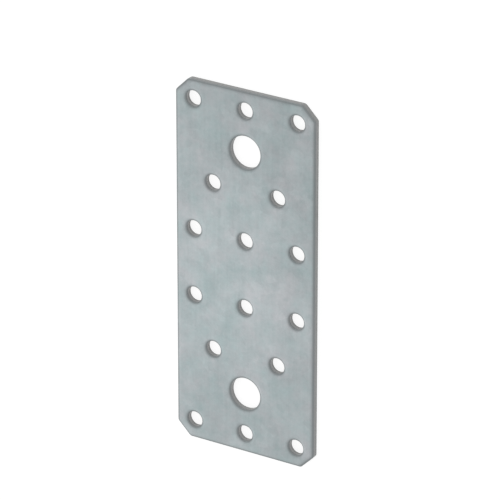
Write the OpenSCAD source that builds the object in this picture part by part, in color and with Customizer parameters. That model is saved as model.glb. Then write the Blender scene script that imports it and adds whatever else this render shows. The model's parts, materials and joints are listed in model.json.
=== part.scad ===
// Mounting plate for timber joints
//
// One flat piece of galvanised steel sheet with four clipped corners.
// Sixteen small round holes take nails or screws and two large round holes take bolts.
// The back face lies on Z = 0. X runs across the plate, Y along it, Z through the sheet.
// The origin is in the middle of the back face.

/* [Plate] */

// Width across the two long edges, mm
plate_width = 55; // [44:0.5:80]

// Length between the two short edges, mm
plate_length = 135; // [115:1:220]

// Thickness of the sheet, mm
sheet_thickness = 2.5; // [2:0.1:4]

// Leg of each clipped corner, measured along both edges, mm
corner_clip = 5; // [2:0.5:8]

/* [Small holes] */

// Diameter of the nail and screw holes, mm
small_hole_diameter = 5.8; // [4:0.1:7]

// Distance from a long edge to the outer columns of small holes, mm
side_distance = 7; // [5.5:0.25:10]

// Distance from a short edge to the end row of small holes, mm
end_distance = 7; // [5.5:0.25:10]

// Distance from a short edge to the staggered pair of small holes, mm
pair_distance = 36.2; // [34:0.2:42]

// Distance between the two small holes of the staggered pair, mm
pair_spacing = 25.6; // [18:0.2:32]

// Distance between the two middle rows of small holes, mm
middle_row_spacing = 25; // [14:0.5:30]

/* [Large holes] */

// Diameter of the two bolt holes, mm
large_hole_diameter = 12; // [9:0.1:14]

// Distance from a short edge to the bolt hole, mm
large_hole_distance = 22.2; // [20:0.2:25]

/* [Punched edges] */

// Radius of the edge that the tool draws in around the outline, mm
outline_roll = 0.4; // [0.1:0.05:0.6]

// Radius of the edge that the punch draws in around each hole, mm
hole_roll = 0.35; // [0.1:0.05:0.6]

// Length of the straight, cut part of each hole's wall, mm
cut_length = 1.1; // [0.5:0.05:1.3]

// Widening of each hole where the slug broke away at the back face, mm
breakout_flare = 0.08; // [0.02:0.01:0.2]

/* [Hidden] */

$fa = 3;
$fs = 0.1;

steel_color = [0.64, 0.67, 0.68];

// Small overlap that carries a cutter past the faces it opens, mm
over = 1;

half_width = plate_width / 2;
half_length = plate_length / 2;

// Levels along a hole's wall, counted from the back face
cut_top = sheet_thickness - hole_roll;
cut_bottom = cut_top - cut_length;

// Columns, counted from the middle of the plate
outer_column = half_width - side_distance;
pair_column = pair_spacing / 2;

// Rows, counted from the middle of the plate
end_row = half_length - end_distance;
large_row = half_length - large_hole_distance;
pair_row = half_length - pair_distance;
middle_row = middle_row_spacing / 2;

// Corners of the outline, anticlockwise
outline = [
    [half_width, half_length - corner_clip],
    [half_width - corner_clip, half_length],
    [-half_width + corner_clip, half_length],
    [-half_width, half_length - corner_clip],
    [-half_width, -half_length + corner_clip],
    [-half_width + corner_clip, -half_length],
    [half_width - corner_clip, -half_length],
    [half_width, -half_length + corner_clip],
];

// Small holes of one half of the plate; the other half mirrors them
small_holes = [
    [-outer_column, end_row],
    [0, end_row],
    [outer_column, end_row],
    [-pair_column, pair_row],
    [pair_column, pair_row],
    [-outer_column, middle_row],
    [0, middle_row],
    [outer_column, middle_row],
];

// Profile that rounds a square edge: the corner of the metal is at [0, sheet_thickness]
// and the metal lies on the side of the positive x axis
module roll_profile(radius) {
    difference() {
        translate([-over, sheet_thickness - radius])
            square([over + radius, radius + over]);
        translate([radius, sheet_thickness - radius])
            circle(r = radius);
    }
}

// Half section of a punched hole: drawn-in mouth, straight cut wall, flared breakout
module punch_profile(diameter) {
    radius = diameter / 2;
    flare_slope = breakout_flare / cut_bottom;
    difference() {
        polygon([
            [0, -over],
            [radius + breakout_flare + over * flare_slope, -over],
            [radius, cut_bottom],
            [radius, cut_top],
            [radius + hole_roll, cut_top],
            [radius + hole_roll, sheet_thickness + over],
            [0, sheet_thickness + over],
        ]);
        translate([radius + hole_roll, cut_top])
            circle(r = hole_roll);
    }
}

// Everything that the punch removes at one hole
module punched_hole(place, diameter) {
    translate([place.x, place.y, 0])
        rotate_extrude()
            punch_profile(diameter);
}

// Everything that the drawn-in edge takes off one side of the outline
module rolled_side(from, to) {
    side = to - from;
    translate([from.x, from.y, 0])
        rotate([0, 0, atan2(side.y, side.x)])
            translate([-over, 0, 0])
                rotate([90, 0, 90])
                    linear_extrude(height = norm(side) + 2 * over)
                        roll_profile(outline_roll);
}

// The sheet as it is sheared, before its edges and holes
module blank() {
    linear_extrude(height = sheet_thickness)
        polygon(outline);
}

module plate() {
    color(steel_color)
        difference() {
            blank();
            for (i = [0 : len(outline) - 1])
                rolled_side(outline[i], outline[(i + 1) % len(outline)]);
            for (half = [1, -1]) {
                for (place = small_holes)
                    punched_hole([place.x, half * place.y], small_hole_diameter);
                punched_hole([0, half * large_row], large_hole_diameter);
            }
        }
}

plate();
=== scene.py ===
"""A galvanised steel mounting plate, lying on a plain pale floor in soft studio light."""

import json
import logging
import math
from dataclasses import dataclass
from enum import Enum

import bmesh
import bpy
from mathutils import Matrix, Vector, noise


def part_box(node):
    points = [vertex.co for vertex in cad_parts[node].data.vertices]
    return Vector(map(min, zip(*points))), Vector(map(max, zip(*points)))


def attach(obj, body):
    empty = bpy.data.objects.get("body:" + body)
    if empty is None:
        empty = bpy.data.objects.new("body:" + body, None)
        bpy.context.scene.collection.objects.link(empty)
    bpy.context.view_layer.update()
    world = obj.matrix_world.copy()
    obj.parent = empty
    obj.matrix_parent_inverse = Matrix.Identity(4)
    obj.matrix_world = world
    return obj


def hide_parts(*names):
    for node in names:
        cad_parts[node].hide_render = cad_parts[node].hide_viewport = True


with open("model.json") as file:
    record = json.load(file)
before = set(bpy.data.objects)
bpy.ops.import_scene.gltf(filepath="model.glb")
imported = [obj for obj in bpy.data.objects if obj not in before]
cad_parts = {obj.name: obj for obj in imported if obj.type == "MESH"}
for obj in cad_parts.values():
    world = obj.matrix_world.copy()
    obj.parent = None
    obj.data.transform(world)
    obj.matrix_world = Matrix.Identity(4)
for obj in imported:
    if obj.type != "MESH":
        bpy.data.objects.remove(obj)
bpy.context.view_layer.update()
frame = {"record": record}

MM = 0.001

log = logging.getLogger("mounting_plate")

Colour = tuple[float, float, float]
Triple = tuple[float, float, float]
Span = tuple[float, float]
Socket = bpy.types.NodeSocket


class Blend(Enum):
    """How two colours are mixed."""

    MIX = "MIX"
    MULTIPLY = "MULTIPLY"


@dataclass(frozen=True)
class WallRing:
    """One ring of a sheared wall, counted from the front edge to the back, in millimetres.

    Attributes:
        inset: How far the ring stands back into the metal.
        height: Height of the ring over the back face.
        ragged: How far the tear moves the ring's points into the metal.
        wander: How far the ring's height wanders along the wall.
    """

    inset: float
    height: float
    ragged: float = 0.0
    wander: float = 0.0


@dataclass(frozen=True)
class ShearedEdge:
    """The form that a shearing or punching tool leaves on a sheet's edge, in millimetres.

    Attributes:
        roll_width: How far the drawn-in edge reaches into the front face.
        roll_depth: How deep the drawn-in edge reaches down the wall.
        cut_length: Length of the straight, cut wall under it.
        flare: How far the torn wall stands back where it meets the back face.
        ragged: Depth of the torn wall's unevenness.
        wander: How far the border between cut and torn wall wanders.
        break_width: Width of the broken corner at the back face.
        roll_rings: Number of rings that round the drawn-in edge.
        torn_start: Share of the flare where the torn wall starts.
        torn_steps: Shares of the flare and of the torn wall's height at its middle rings.
    """

    roll_width: float
    roll_depth: float
    cut_length: float
    flare: float
    ragged: float = 0.03
    wander: float = 0.16
    break_width: float = 0.06
    roll_rings: int = 8
    torn_start: float = 0.35
    torn_steps: tuple[Span, ...] = ((0.6, 0.66), (0.8, 0.33))

    def border(self, thickness: float) -> float:
        """Give the height of the border between cut and torn wall over the back face."""
        return thickness - self.roll_depth - self.cut_length

    def rings(self, thickness: float) -> list[WallRing]:
        """Give the rings of the wall.

        Args:
            thickness: Thickness of the sheet.

        Returns:
            The rings from the front edge to the back.
        """
        found: list[WallRing] = []
        for i in range(self.roll_rings + 1):
            turn = 0.5 * math.pi * i / self.roll_rings
            inset = self.roll_width * (1.0 - math.sin(turn))
            height = thickness - self.roll_depth * (1.0 - math.cos(turn))
            found.append(WallRing(inset, height))
        border, blend = self.border(thickness), 0.5 * self.break_width
        start = self.torn_start * self.flare
        found.append(WallRing(0.0, border + blend, 0.0, self.wander))
        found.append(WallRing(start, border - blend, self.ragged, self.wander))
        for flare_share, height_share in self.torn_steps:
            found.append(WallRing(flare_share * self.flare, height_share * border, self.ragged))
        found.append(WallRing(self.flare, self.break_width, 0.5 * self.ragged))
        found.append(WallRing(self.flare + self.break_width, 0.0))
        return found


@dataclass(frozen=True)
class Grain:
    """A noise pattern.

    Attributes:
        scale: How fine it is: its coarsest waves per unit of its coordinates.
        detail: Number of finer layers over the coarsest waves.
        roughness: Strength of each finer layer against the one before.
    """

    scale: float
    detail: float = 3.0
    roughness: float = 0.55


@dataclass(frozen=True)
class Layer:
    """What one layer of a finish gives the shader.

    Attributes:
        colour: Its colour.
        rough: Its roughness.
        height: Height of its relief.
    """

    colour: Socket
    rough: Socket
    height: Socket


@dataclass(frozen=True)
class NodeBoard:
    """A node tree, filled one node at a time.

    Attributes:
        tree: The tree that takes the nodes.
    """

    tree: bpy.types.NodeTree

    def add(self, kind: str, inputs: dict[str | int, object] | None = None,
            **settings: object) -> bpy.types.Node:
        """Add a node and fill its sockets.

        Args:
            kind: Type name of the node.
            inputs: Values or sockets by the input's name or number.
            settings: Properties of the node.

        Returns:
            The new node.
        """
        node = self.tree.nodes.new(kind)
        for name, value in settings.items():
            setattr(node, name, value)
        for key, value in (inputs or {}).items():
            self.plug(node, key, value)
        return node

    def plug(self, node: bpy.types.Node, key: str | int, value: object) -> None:
        """Set an input to a value, or join it to another node's socket.

        Args:
            node: The node that has the input.
            key: Name or number of the input.
            value: The value or the socket.
        """
        if isinstance(value, Socket):
            self.tree.links.new(value, node.inputs[key])
        else:
            node.inputs[key].default_value = value

    def maths(self, operation: str, *terms: object) -> Socket:
        """Add a Math node over the terms and return its result."""
        return self.add("ShaderNodeMath", dict(enumerate(terms)), operation=operation).outputs[0]

    def weighted(self, *parts: tuple[Socket, float]) -> Socket:
        """Add up values, each times its weight.

        Args:
            parts: The values with their weights.

        Returns:
            The sum.
        """
        total, *others = (self.maths("MULTIPLY", value, weight) for value, weight in parts)
        for other in others:
            total = self.maths("ADD", total, other)
        return total

    def span(self, value: Socket, ends: Span, to: Span = (0.0, 1.0),
             smooth: bool = False) -> Socket:
        """Map a value from a span to another one, held at the ends.

        Args:
            value: The socket that is read.
            ends: The values that become the new ends.
            to: The new ends.
            smooth: Whether the change eases in and out.

        Returns:
            The mapped value.
        """
        inputs = {"Value": value, "From Min": ends[0], "From Max": ends[1],
                  "To Min": to[0], "To Max": to[1]}
        kind = "SMOOTHSTEP" if smooth else "LINEAR"
        return self.add("ShaderNodeMapRange", inputs, interpolation_type=kind).outputs["Result"]

    def stretched(self, vector: Socket, scale: Triple) -> Socket:
        """Scale a pattern's coordinates along each axis."""
        inputs = {"Vector": vector, "Scale": scale}
        return self.add("ShaderNodeMapping", inputs).outputs["Vector"]

    def pattern(self, vector: Socket, grain: Grain) -> bpy.types.Node:
        """Add a noise pattern.

        Args:
            vector: The pattern's coordinates.
            grain: Form of the pattern.

        Returns:
            The pattern's node.
        """
        inputs = {"Vector": vector, "Scale": grain.scale, "Detail": grain.detail,
                  "Roughness": grain.roughness}
        return self.add("ShaderNodeTexNoise", inputs)

    def grain(self, vector: Socket, grain: Grain) -> Socket:
        """Add a noise pattern and return its value, about 0.5 on average."""
        return self.pattern(vector, grain).outputs["Fac"]

    def blended(self, share: Socket, first: object, second: object) -> Socket:
        """Blend two values by a share."""
        return self.add("ShaderNodeMix", {0: share, 2: first, 3: second}).outputs[0]

    def colours(self, share: object, first: object, second: object,
                blend: Blend = Blend.MIX) -> Socket:
        """Mix two colours by a share.

        Args:
            share: How much of the second colour is taken.
            first: The first colour.
            second: The second colour.
            blend: How they are mixed.

        Returns:
            The mixed colour.
        """
        node = self.add("ShaderNodeMix", data_type="RGBA", blend_type=blend.value)
        for key, value in ((0, share), (6, first), (7, second)):
            self.plug(node, key, (*value, 1.0) if isinstance(value, tuple) else value)
        return node.outputs[2]


def empty_material(name: str) -> bpy.types.Material:
    """Make a material without nodes.

    Args:
        name: The material's name.

    Returns:
        The material.
    """
    material = bpy.data.materials.new(name)
    material.use_nodes = True
    material.node_tree.nodes.clear()
    return material


@dataclass(frozen=True)
class ZincCoat:
    """The zinc coat: cloudy tone, faint crystals, rolling streaks, fine grain and a painted
    highlight on the face.

    Lengths are in millimetres and patterns per millimetre.

    Attributes:
        light: Colour of the brighter zinc.
        dark: Colour of the duller zinc.
        clouds: Broad clouds of the tone.
        mottle: Smaller patches of the tone.
        fine: Fine grain of the tone.
        streaks: Streaks of the rolling mill.
        streak_stretch: How the streaks' pattern is scaled along each axis.
        crystal_scale: How fine the zinc's crystals are.
        swirl: Pattern that bends the crystals' borders.
        swirl_reach: How far it bends them.
        tone_weights: Weights of clouds, mottle, crystals, streaks and fine grain in the tone.
        tone_ends: Sums of these that give the dark and the light zinc.
        painted_highlight_centre: Middle of the painted highlight, a brighter pool of light painted
            on the face.
        painted_highlight_size: Reach of the painted highlight along each axis.
        painted_highlight_ends: Shares of the reach where the painted shade outside the highlight
            starts and is full.
        painted_shade_factor: What the colour is multiplied by outside the painted highlight, as
            painted shade.
        tint: Pattern of the warmer and cooler patches.
        tint_ends: Its values that give the cool and the warm tint.
        cool: What the colour is multiplied by in the coolest patches.
        warm: What it is multiplied by in the warmest ones.
        rough: Roughness of the smoothest and of the roughest zinc.
        rough_ends: Sums of crystals and mottle that give them.
        relief_weights: Weights of fine grain and mottle in the relief.
    """

    light: Colour = (0.457, 0.503, 0.515)
    dark: Colour = (0.329, 0.372, 0.382)
    clouds: Grain = Grain(0.05, 2.0)
    mottle: Grain = Grain(0.22, 5.0, 0.8)
    fine: Grain = Grain(2.6)
    streaks: Grain = Grain(1.0, 2.0)
    streak_stretch: Triple = (1.1, 0.035, 1.1)
    crystal_scale: float = 0.32
    swirl: Grain = Grain(0.35, 2.0, 0.5)
    swirl_reach: float = 2.4
    tone_weights: tuple[float, ...] = (1.1, 1.7, 0.5, 0.4, 0.3)
    tone_ends: Span = (1.475, 2.525)
    painted_highlight_centre: Triple = (-11.0, -5.0, 0.0)
    painted_highlight_size: Triple = (34.0, 46.0, 40.0)
    painted_highlight_ends: Span = (0.2, 1.6)
    painted_shade_factor: Colour = (0.86, 0.86, 0.86)
    tint: Grain = Grain(0.09, 5.0, 0.7)
    tint_ends: Span = (0.35, 0.65)
    cool: Colour = (0.94, 1.0, 0.992)
    warm: Colour = (1.06, 1.0, 1.008)
    rough: Span = (0.42, 0.56)
    rough_ends: Span = (0.3, 1.3)
    relief_weights: Span = (0.5, 0.8)

    def layer(self, board: NodeBoard, mm: Socket) -> Layer:
        """Build the coat.

        Args:
            board: The board that takes the nodes.
            mm: Coordinates on the plate, in millimetres.

        Returns:
            The coat.
        """
        clouds, mottle, fine = (board.grain(mm, grain)
                                for grain in (self.clouds, self.mottle, self.fine))
        streaks = board.grain(board.stretched(mm, self.streak_stretch), self.streaks)
        crystals = self._crystals(board, mm)
        patterns = (clouds, mottle, crystals, streaks, fine)
        tone = board.weighted(*zip(patterns, self.tone_weights))
        colour = board.colours(board.span(tone, self.tone_ends), self.dark, self.light)
        # Painted highlight: the colour is darkened outside a broad pool on the face, so that the
        # pool reads as a highlight.
        painted_shade_colour = board.colours(1.0, colour, self.painted_shade_factor, Blend.MULTIPLY)
        colour = board.colours(self._outside_painted_highlight(board, mm), colour, painted_shade_colour)
        tint = board.span(board.grain(mm, self.tint), self.tint_ends)
        tinted = board.colours(tint, self.cool, self.warm)
        colour = board.colours(1.0, colour, tinted, Blend.MULTIPLY)
        rough = board.span(board.maths("ADD", crystals, mottle), self.rough_ends, self.rough)
        height = board.weighted(*zip((fine, mottle), self.relief_weights))
        return Layer(colour, rough, height)

    def _crystals(self, board: NodeBoard, mm: Socket) -> Socket:
        """Build the crystals, each with a tone of its own.

        Args:
            board: The board that takes the nodes.
            mm: Coordinates on the plate, in millimetres.

        Returns:
            The tone, from 0 to 1.
        """
        swirl = board.pattern(mm, self.swirl).outputs["Color"]
        moves = board.stretched(swirl, (self.swirl_reach,) * 3)
        place = board.add("ShaderNodeVectorMath", {0: mm, 1: moves}, operation="ADD").outputs[0]
        inputs = {"Vector": place, "Scale": self.crystal_scale}
        colour = board.add("ShaderNodeTexVoronoi", inputs).outputs["Color"]
        return board.add("ShaderNodeSeparateColor", {0: colour}).outputs["Red"]

    def _outside_painted_highlight(self, board: NodeBoard, mm: Socket) -> Socket:
        """Find how far a point lies outside the painted highlight, a brighter pool of light
        painted on the face.

        Args:
            board: The board that takes the nodes.
            mm: Coordinates on the plate, in millimetres.

        Returns:
            0 inside the painted highlight, rising to 1 outside it.
        """
        inputs = {0: mm, 1: self.painted_highlight_centre}
        centred = board.add("ShaderNodeVectorMath", inputs, operation="SUBTRACT").outputs[0]
        reach = board.stretched(centred, tuple(1.0 / size for size in self.painted_highlight_size))
        length = board.add("ShaderNodeVectorMath", {0: reach}, operation="LENGTH")
        return board.span(length.outputs["Value"], self.painted_highlight_ends, smooth=True)


@dataclass(frozen=True)
class BareWall:
    """The bare wall: smooth and scored where it was cut, rough where it tore.

    Lengths are in millimetres and patterns per millimetre.

    Attributes:
        cut: Colour of the cut wall.
        torn: Colour of the torn wall.
        cut_rough: Roughness of the cut wall.
        torn_rough: Roughness of the torn wall.
        wander: Pattern that moves the border between cut and torn wall.
        wander_reach: How far it moves the border.
        border_blur: Half of the border's width.
        scores: Marks that the tool leaves on the cut wall.
        score_stretch: How their pattern is scaled along each axis.
        score_ends: Their values that show nothing and most of the torn colour.
        score_share: The most that the scores show of the torn colour.
        smear_reach: How far the scores move the zinc that the tool rubbed over the cut wall.
        smear_ends: Heights over the border where the rubbed zinc starts and covers in full.
        crumbs: Crumbs of the torn wall.
        crumb_ends: Their values that show the torn and the cut colour.
        crumb_height: Height of the crumbs against the scores.
    """

    cut: Colour = (0.27, 0.276, 0.276)
    torn: Colour = (0.44, 0.443, 0.436)
    cut_rough: float = 0.34
    torn_rough: float = 0.72
    wander: Grain = Grain(0.9)
    wander_reach: float = 0.7
    border_blur: float = 0.08
    scores: Grain = Grain(1.0)
    score_stretch: Triple = (5.0, 5.0, 0.25)
    score_ends: Span = (0.3, 0.7)
    score_share: float = 0.15
    smear_reach: float = 1.2
    smear_ends: Span = (0.9, 1.9)
    crumbs: Grain = Grain(4.5, 5.0, 0.7)
    crumb_ends: Span = (0.35, 0.7)
    crumb_height: float = 3.0

    def layer(self, board: NodeBoard, mm: Socket, border: float, rubbed_zinc_and_crease_shade: Colour) -> Layer:
        """Build the wall.

        Args:
            board: The board that takes the nodes.
            mm: Coordinates on the plate, in millimetres.
            border: Height of the border between cut and torn wall over the back face.
            rubbed_zinc_and_crease_shade: Colour of the zinc that the tool rubbed over the cut
                wall; the same dark colour is painted shade in the crease of the drawn-in edge.

        Returns:
            The wall.
        """
        scores = board.grain(board.stretched(mm, self.score_stretch), self.scores)
        crumbs = board.grain(mm, self.crumbs)
        wander = board.maths("SUBTRACT", board.grain(mm, self.wander), 0.5)
        height = board.add("ShaderNodeSeparateXYZ", {0: mm}).outputs["Z"]
        level = board.maths("ADD", height, board.maths("MULTIPLY", wander, self.wander_reach))
        torn = board.span(level, (border + self.border_blur, border - self.border_blur))

        reach = board.maths("ADD", level, board.maths("MULTIPLY", scores, self.smear_reach))
        smear = board.span(reach, tuple(border + end for end in self.smear_ends))
        scored = board.span(scores, self.score_ends, (0.0, self.score_share))
        cut = board.colours(scored, board.colours(smear, self.cut, rubbed_zinc_and_crease_shade), self.torn)
        crumbled = board.colours(board.span(crumbs, self.crumb_ends), self.torn, self.cut)
        rough = board.blended(torn, self.cut_rough, self.torn_rough)
        relief = board.blended(torn, scores, board.maths("MULTIPLY", crumbs, self.crumb_height))
        return Layer(board.colours(torn, cut, crumbled), rough, relief)


@dataclass(frozen=True)
class GalvanisedSteel:
    """Zinc-coated sheet with bare, sheared walls, and painted shade in the crease of the drawn-in
    edges.

    The ends are values of the normal's Z, which is 1 on the flat faces and 0 on the walls.

    Attributes:
        zinc: The zinc coat.
        wall: The bare wall.
        rubbed_zinc_and_crease_shade: Colour of the zinc that the tool drew over the edge, dark
            enough to paint the shade in the crease of the drawn-in edge.
        crease_shade_share: The most that the drawn-in edge shows of it, as painted shade.
        drawn_ends: Where the drawn-in edge starts to show it and shows the most.
        wall_ends: Where the wall starts to show and covers in full.
        metallic: How metallic the whole surface is.
        bump_depth: Depth of the relief, in metres.
    """

    zinc: ZincCoat = ZincCoat()
    wall: BareWall = BareWall()
    rubbed_zinc_and_crease_shade: Colour = (0.18, 0.193, 0.197)
    crease_shade_share: float = 0.7
    drawn_ends: Span = (0.9998, 0.965)
    wall_ends: Span = (0.6, 0.25)
    metallic: float = 0.9
    bump_depth: float = 0.012 * MM

    def material(self, border: float) -> bpy.types.Material:
        """Build the material.

        Args:
            border: Height of the border between cut and torn wall over the back face, in
                millimetres.

        Returns:
            The material for the whole plate.
        """
        material = empty_material("galvanised_steel")
        board = NodeBoard(material.node_tree)
        place = board.add("ShaderNodeTexCoord")
        mm = board.stretched(place.outputs["Object"], (1.0 / MM,) * 3)
        upright = board.add("ShaderNodeSeparateXYZ", {0: place.outputs["Normal"]}).outputs["Z"]
        facing = board.maths("ABSOLUTE", upright)
        is_wall = board.span(facing, self.wall_ends, smooth=True)
        # Painted shade: the crease of the drawn-in edge is darkened in the colour, partly as zinc
        # rubbed by the tool and partly as painted shade.
        drawn = board.maths("MULTIPLY", board.span(facing, self.drawn_ends), self.crease_shade_share)

        zinc = self.zinc.layer(board, mm)
        wall = self.wall.layer(board, mm, border, self.rubbed_zinc_and_crease_shade)
        coat = board.colours(drawn, zinc.colour, self.rubbed_zinc_and_crease_shade)
        height = board.blended(is_wall, zinc.height, wall.height)
        bump = board.add("ShaderNodeBump", {"Height": height, "Distance": self.bump_depth})
        shader = board.add("ShaderNodeBsdfPrincipled", {
            "Metallic": self.metallic,
            "Base Color": board.colours(is_wall, coat, wall.colour),
            "Roughness": board.blended(is_wall, zinc.rough, wall.rough),
            "Normal": bump.outputs["Normal"],
        })
        board.add("ShaderNodeOutputMaterial", {"Surface": shader.outputs["BSDF"]})
        return material


@dataclass
class MountingPlate:
    """The plate: a sheet with clipped corners and round punched holes, in millimetres.

    Attributes:
        low: Lowest corner of the plate's box.
        high: Highest corner.
        corner_clip: Leg of each clipped corner.
        corner_blunting: How far a corner stands back, as an inset of the sides that meet there.
        outline_edge: Form of the outline's sheared edge.
        hole_edge: Form of the punched holes' edges.
        point_spacing: Distance between the outline's points.
        hole_spacing: Distance between the points round a hole.
        straight: Angle between two neighbouring sides, in degrees, under which they form a corner.
        tear_scale: How fine the torn wall's unevenness is, per millimetre.
        wander_scale: How fine the wandering of its border is, per millimetre.
        wander_level: Level of the noise that the border's wandering is read at.
        sharp_angle: Turn of the surface over an edge, in degrees, from which it shades sharp.
        finish: The zinc-coated steel.
    """

    low: Vector
    high: Vector
    corner_clip: float = 5.0
    corner_blunting: float = 0.1
    outline_edge: ShearedEdge = ShearedEdge(1.7, 0.4, 1.1, 0.06)
    hole_edge: ShearedEdge = ShearedEdge(1.5, 0.35, 1.1, 0.08)
    point_spacing: float = 0.5
    hole_spacing: float = 0.26
    straight: float = 170.0
    tear_scale: float = 2.3
    wander_scale: float = 0.9
    wander_level: float = 7.0
    sharp_angle: float = 40.0
    finish: GalvanisedSteel = GalvanisedSteel()

    @property
    def thickness(self) -> float:
        """Thickness of the sheet."""
        return self.high.z - self.low.z

    def build(self, mounts: list[dict]) -> bpy.types.Object:
        """Model the plate and dress it.

        Args:
            mounts: The record's mounts, whose bores are the holes.

        Returns:
            The finished piece.
        """
        shape = bmesh.new()
        for name in ("spot", "inward"):
            shape.verts.layers.float_vector.new(name)
        self._wall(shape, self._outline(shape), self.outline_edge)
        for mount in mounts:
            if mount["kind"] == "bore":
                self._wall(shape, self._hole(shape, mount), self.hole_edge)
        self._close(shape)
        return self._finished(shape)

    def _outline(self, shape: bmesh.types.BMesh) -> list[bmesh.types.BMEdge]:
        """Draw the outline at Z = 0.

        Each point keeps its spot and the way it moves where the wall steps into the metal by
        1 mm. At a corner that way lies along the mitre, and the points between share it out.

        Args:
            shape: The mesh that takes the outline.

        Returns:
            The edges of the closed outline.
        """
        layers = shape.verts.layers.float_vector
        spot, inward = layers["spot"], layers["inward"]
        points = bmesh.ops.create_grid(shape, x_segments=1, y_segments=1, size=1.0)["verts"]
        bmesh.ops.delete(shape, geom=list(shape.faces), context="FACES_ONLY")
        bmesh.ops.scale(shape, vec=(self.high.x, self.high.y, 1.0), verts=points)
        bmesh.ops.bevel(shape, geom=[*shape.verts, *shape.edges], offset=self.corner_clip,
                        offset_type="OFFSET", segments=1, profile=0.5, affect="VERTICES",
                        material=-1)
        for corner in shape.verts:
            first, second = ((edge.other_vert(corner).co - corner.co).normalized()
                             for edge in corner.link_edges)
            mitre = (first + second).normalized()
            corner[inward] = mitre / mitre.cross(first).length
        for edge in list(shape.edges):
            cuts = round(edge.calc_length() / self.point_spacing) - 1
            bmesh.ops.subdivide_edges(shape, edges=[edge], cuts=cuts)
        for point in shape.verts:
            first, second = (edge.other_vert(point).co - point.co for edge in point.link_edges)
            is_corner = first.angle(second) < math.radians(self.straight)
            blunting = self.corner_blunting if is_corner else 0.0
            point[spot] = point.co + point[inward] * blunting
        return list(shape.edges)

    def _hole(self, shape: bmesh.types.BMesh, mount: dict) -> list[bmesh.types.BMEdge]:
        """Draw one hole at Z = 0.

        Args:
            shape: The mesh that takes the hole.
            mount: The record's bore.

        Returns:
            The edges of the closed circle.
        """
        layers = shape.verts.layers.float_vector
        spot, inward = layers["spot"], layers["inward"]
        x, y, _ = (value / MM for value in mount["pos_m"])
        centre = Vector((x, y, 0.0))
        radius = mount["dims"]["r_mm"]
        segments = 4 * round(0.25 * math.tau * radius / self.hole_spacing)
        points = bmesh.ops.create_circle(shape, segments=segments, radius=radius,
                                         matrix=Matrix.Translation(centre))["verts"]
        for point in points:
            point[spot] = point.co
            point[inward] = (point.co - centre).normalized()
        return list(dict.fromkeys(edge for point in points for edge in point.link_edges))

    def _wall(self, shape: bmesh.types.BMesh, loop: list[bmesh.types.BMEdge],
              form: ShearedEdge) -> None:
        """Draw a closed outline down into a sheared wall.

        Args:
            shape: The mesh that holds the outline.
            loop: Its edges.
            form: Form of the sheared edge.
        """
        ring, points = loop, {point for edge in loop for point in edge.verts}
        first, *others = form.rings(self.thickness)
        self._place(shape, points, first)
        for step in others:
            made = bmesh.ops.extrude_edge_only(shape, edges=ring)["geom"]
            points = {item for item in made if isinstance(item, bmesh.types.BMVert)}
            ring = [item for item in made
                    if isinstance(item, bmesh.types.BMEdge) and points.issuperset(item.verts)]
            self._place(shape, points, step)

    def _place(self, shape: bmesh.types.BMesh, points: set[bmesh.types.BMVert],
               ring: WallRing) -> None:
        """Move the points of one ring to their place, with the tear's unevenness.

        Args:
            shape: The mesh that holds the ring.
            points: The ring's points.
            ring: Where the ring stands.
        """
        layers = shape.verts.layers.float_vector
        for point in points:
            spot = point[layers["spot"]]
            torn_at = Vector((spot.x, spot.y, ring.height)) * self.tear_scale
            border_at = Vector((spot.x, spot.y, self.wander_level)) * self.wander_scale
            tear = max(0.0, noise.noise(torn_at) * ring.ragged)
            point.co = spot + point[layers["inward"]] * (ring.inset + tear)
            point.co.z = self.low.z + ring.height + noise.noise(border_at) * ring.wander

    def _close(self, shape: bmesh.types.BMesh) -> None:
        """Fill the front and the back face between the walls.

        Args:
            shape: The mesh that holds the walls.
        """
        middle = 0.5 * (self.low.z + self.high.z)
        rims = [edge for edge in shape.edges if edge.is_boundary]
        for direction in (1.0, -1.0):
            edges = [edge for edge in rims if (edge.verts[0].co.z - middle) * direction > 0.0]
            bmesh.ops.triangle_fill(shape, use_beauty=True, use_dissolve=False, edges=edges,
                                    normal=(0.0, 0.0, direction))
        bmesh.ops.recalc_face_normals(shape, faces=shape.faces)

    def _finished(self, shape: bmesh.types.BMesh) -> bpy.types.Object:
        """Turn the mesh into the dressed piece that stands for the CAD plate.

        Args:
            shape: The closed mesh.

        Returns:
            The piece.
        """
        for face in shape.faces:
            face.smooth = True
        for edge in shape.edges:
            edge.smooth = edge.calc_face_angle(0.0) < math.radians(self.sharp_angle)
        bmesh.ops.scale(shape, vec=(MM, MM, MM), verts=shape.verts)
        mesh = bpy.data.meshes.new("plate_sheet")
        shape.to_mesh(mesh)
        shape.free()
        piece = bpy.data.objects.new("plate_sheet", mesh)
        bpy.context.scene.collection.objects.link(piece)
        shading = piece.modifiers.new("flat_faces_stay_flat", "WEIGHTED_NORMAL")
        shading.keep_sharp = True
        shading.weight = 100
        mesh.materials.append(self.finish.material(self.hole_edge.border(self.thickness)))
        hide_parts("plate")
        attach(piece, "root")
        log.info("plate_sheet: %d faces", len(mesh.polygons))
        return piece


@dataclass(frozen=True)
class Lamp:
    """A soft square lamp.

    Attributes:
        name: What the lamp is for.
        place: Where it hangs, in metres.
        size: Length of its sides, in metres.
        power: Its power, in watts.
    """

    name: str
    place: Triple
    size: float
    power: float

    def hang(self, target: Vector) -> bpy.types.Object:
        """Hang the lamp and turn it to a point.

        Args:
            target: The point that it lights.

        Returns:
            The lamp's object.
        """
        data = bpy.data.lights.new(self.name, "AREA")
        data.shape, data.size, data.energy = "SQUARE", self.size, self.power
        lamp = bpy.data.objects.new(self.name, data)
        lamp.location = self.place
        lamp.rotation_euler = (target - lamp.location).to_track_quat("-Z", "Y").to_euler()
        bpy.context.scene.collection.objects.link(lamp)
        return lamp


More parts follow.
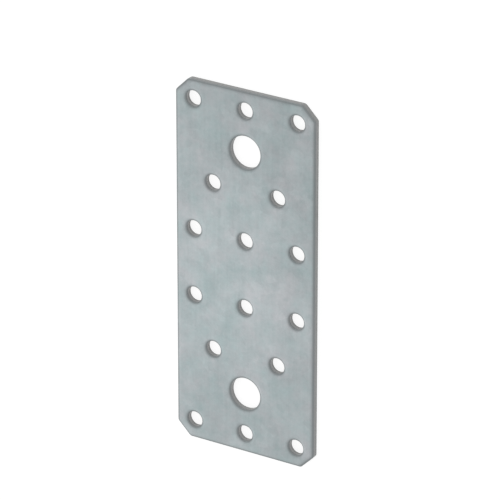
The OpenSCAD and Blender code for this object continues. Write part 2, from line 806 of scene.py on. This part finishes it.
@dataclass(frozen=True)
class Studio:
    """The floor, the light and the camera.

    Attributes:
        floor_size: Length of the floor's sides, in metres.
        floor_colour: Colour of the floor where it scatters light.
        floor_glow: How bright the floor is to the camera before any light falls on it.
        ambient: Brightness of the light that comes from all round.
        lamps: The soft lamps.
        azimuth: How far the camera stands to the right of the plate's normal, in degrees.
        elevation: How far it stands towards the plate's upper end, in degrees.
        distance: How far it stands from the middle of the plate, in metres.
        lens: Focal length, in millimetres.
        aim: Turn of the view away from the middle of the plate, right and up, in degrees.
        roll: Roll of the camera, in degrees.
        clip: Nearest and furthest distance that the camera sees, in metres.
    """

    floor_size: float = 60.0
    floor_colour: Colour = (0.3, 0.3, 0.3)
    floor_glow: float = 0.82
    ambient: float = 0.72
    lamps: tuple[Lamp, ...] = (
        Lamp("key", (-0.95, -0.75, 0.6), 0.6, 2.2),
        Lamp("rim", (-0.75, 1.0, 0.3), 0.5, 2.5),
    )
    azimuth: float = 31.8115
    elevation: float = 25.0559
    distance: float = 1.49784
    lens: float = 316.707
    aim: Span = (-0.0188, -0.2921)
    roll: float = 0.0112
    clip: Span = (0.05, 100.0)

    def set_up(self) -> None:
        """Make the floor, the world, the lamps and the camera."""
        self._floor()
        self._world()
        for lamp in self.lamps:
            lamp.hang(Vector())
        self._camera()
        bpy.context.scene.view_settings.view_transform = "Standard"
        log.info("studio: %d lamps", len(self.lamps))

    def _seen(self, board: NodeBoard) -> Socket:
        """Tell rays that show the background from those that light the plate.

        Args:
            board: The board that takes the nodes.

        Returns:
            1 for rays that show the background, and 0 for the others.
        """
        path = board.add("ShaderNodeLightPath").outputs
        seen = board.maths("MAXIMUM", path["Is Camera Ray"], path["Is Glossy Ray"])
        return board.maths("MAXIMUM", seen, path["Is Transmission Ray"])

    def _floor(self) -> None:
        """Lay the pale floor, which keeps the plate's shadow."""
        shape = bmesh.new()
        bmesh.ops.create_grid(shape, x_segments=1, y_segments=1, size=0.5 * self.floor_size)
        mesh = bpy.data.meshes.new("floor")
        shape.to_mesh(mesh)
        shape.free()
        floor = bpy.data.objects.new("floor", mesh)
        bpy.context.scene.collection.objects.link(floor)
        material = empty_material("pale_floor")
        board = NodeBoard(material.node_tree)
        glow = board.maths("MULTIPLY", self._seen(board), self.floor_glow)
        light = board.add("ShaderNodeEmission", {"Strength": glow})
        matt = board.add("ShaderNodeBsdfDiffuse", {"Color": (*self.floor_colour, 1.0)})
        both = board.add("ShaderNodeAddShader", {0: light.outputs[0], 1: matt.outputs[0]})
        board.add("ShaderNodeOutputMaterial", {"Surface": both.outputs[0]})
        mesh.materials.append(material)

    def _world(self) -> None:
        """Surround the scene with plain light, white where it is seen."""
        world = bpy.data.worlds.new("studio")
        world.use_nodes = True
        board = NodeBoard(world.node_tree)
        background = world.node_tree.nodes["Background"]
        strength = board.span(self._seen(board), (0.0, 1.0), (self.ambient, 1.0))
        board.plug(background, "Color", (1.0, 1.0, 1.0, 1.0))
        board.plug(background, "Strength", strength)
        bpy.context.scene.world = world

    def _camera(self) -> None:
        """Stand the camera where the picture was taken from."""
        side, rise = math.radians(self.azimuth), math.radians(self.elevation)
        turn, tip = side + math.radians(self.aim[0]), rise + math.radians(self.aim[1])
        ahead = -self._direction(turn, tip)
        right = ahead.cross(Vector((0.0, 1.0, 0.0))).normalized()
        axes = Matrix((right, right.cross(ahead), -ahead)).transposed()
        axes = axes @ Matrix.Rotation(math.radians(self.roll), 3, "Z")
        data = bpy.data.cameras.new("camera")
        data.lens = self.lens
        data.clip_start, data.clip_end = self.clip
        camera = bpy.data.objects.new("camera", data)
        place = self._direction(side, rise) * self.distance
        camera.matrix_world = Matrix.Translation(place) @ axes.to_4x4()
        bpy.context.scene.collection.objects.link(camera)
        bpy.context.scene.camera = camera

    def _direction(self, side: float, rise: float) -> Vector:
        """Give the direction that lies that far right of and above the plate's normal.

        Args:
            side: Angle to the right, in radians.
            rise: Angle towards the plate's upper end, in radians.

        Returns:
            The direction, 1 long.
        """
        flat = math.cos(rise)
        return Vector((math.sin(side) * flat, math.sin(rise), math.cos(side) * flat))


def main() -> None:
    """Build the plate and its studio."""
    logging.basicConfig(level=logging.INFO, format="%(name)s: %(message)s")
    low, high = (Vector(corner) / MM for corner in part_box("plate"))
    MountingPlate(low, high).build(frame["record"]["mounts"])
    Studio().set_up()


if __name__ == "__main__":
    main()
